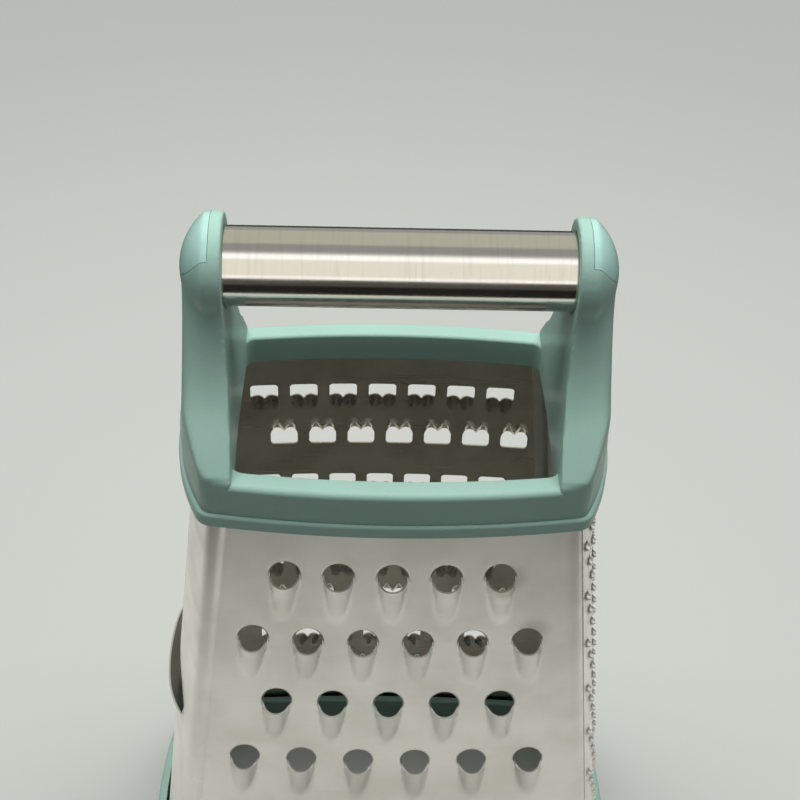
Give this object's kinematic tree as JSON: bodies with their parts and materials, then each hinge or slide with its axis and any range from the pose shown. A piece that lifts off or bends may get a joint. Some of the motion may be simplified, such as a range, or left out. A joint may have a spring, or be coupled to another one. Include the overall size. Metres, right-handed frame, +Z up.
{
  "type": "box grater",
  "caption": "Four-sided steel box grater with coarse, fine, ribbon and slicing sides, a moulded top frame with a steel tube handle, and a moulded base ring.",
  "frame": {"origin": "middle of the plane that the grater stands on, under the middle of the body", "axes": "+Z up, X along the handle tube, the coarse cutters face -Y, the fine cutters +X, the ribbon cutters +Y and the slicing edge -X"},
  "size_m": [0.1472, 0.0948, 0.24],
  "materials": {
    "mint_plastic": "satin moulded plastic with a fine grain, pale mint green",
    "cap_plastic": "smooth semi-gloss moulded plastic, pale mint green",
    "tube_steel": "brushed round the tube",
    "sheet_steel": "satin sheet with faint level brushing",
    "screw_steel": "plain plated steel",
    "plug_plastic": "natural moulded plastic",
    "grip_rubber": "soft matte rubber"
  },
  "bodies": {
    "root": {"top_frame": "mint_plastic", "base_ring": "mint_plastic", "left_end_cap": "cap_plastic", "right_end_cap": "cap_plastic", "handle_tube": "tube_steel", "left_tube_plug": "plug_plastic", "right_tube_plug": "plug_plastic", "left_handle_screw": "screw_steel", "right_handle_screw": "screw_steel", "coarse_panel": "sheet_steel", "fine_panel": "sheet_steel", "ribbon_panel": "sheet_steel", "slicer_panel": "sheet_steel", "front_grip_strip": "grip_rubber", "back_grip_strip": "grip_rubber", "left_grip_strip": "grip_rubber", "right_grip_strip": "grip_rubber"}
  },
  "joints": []
}
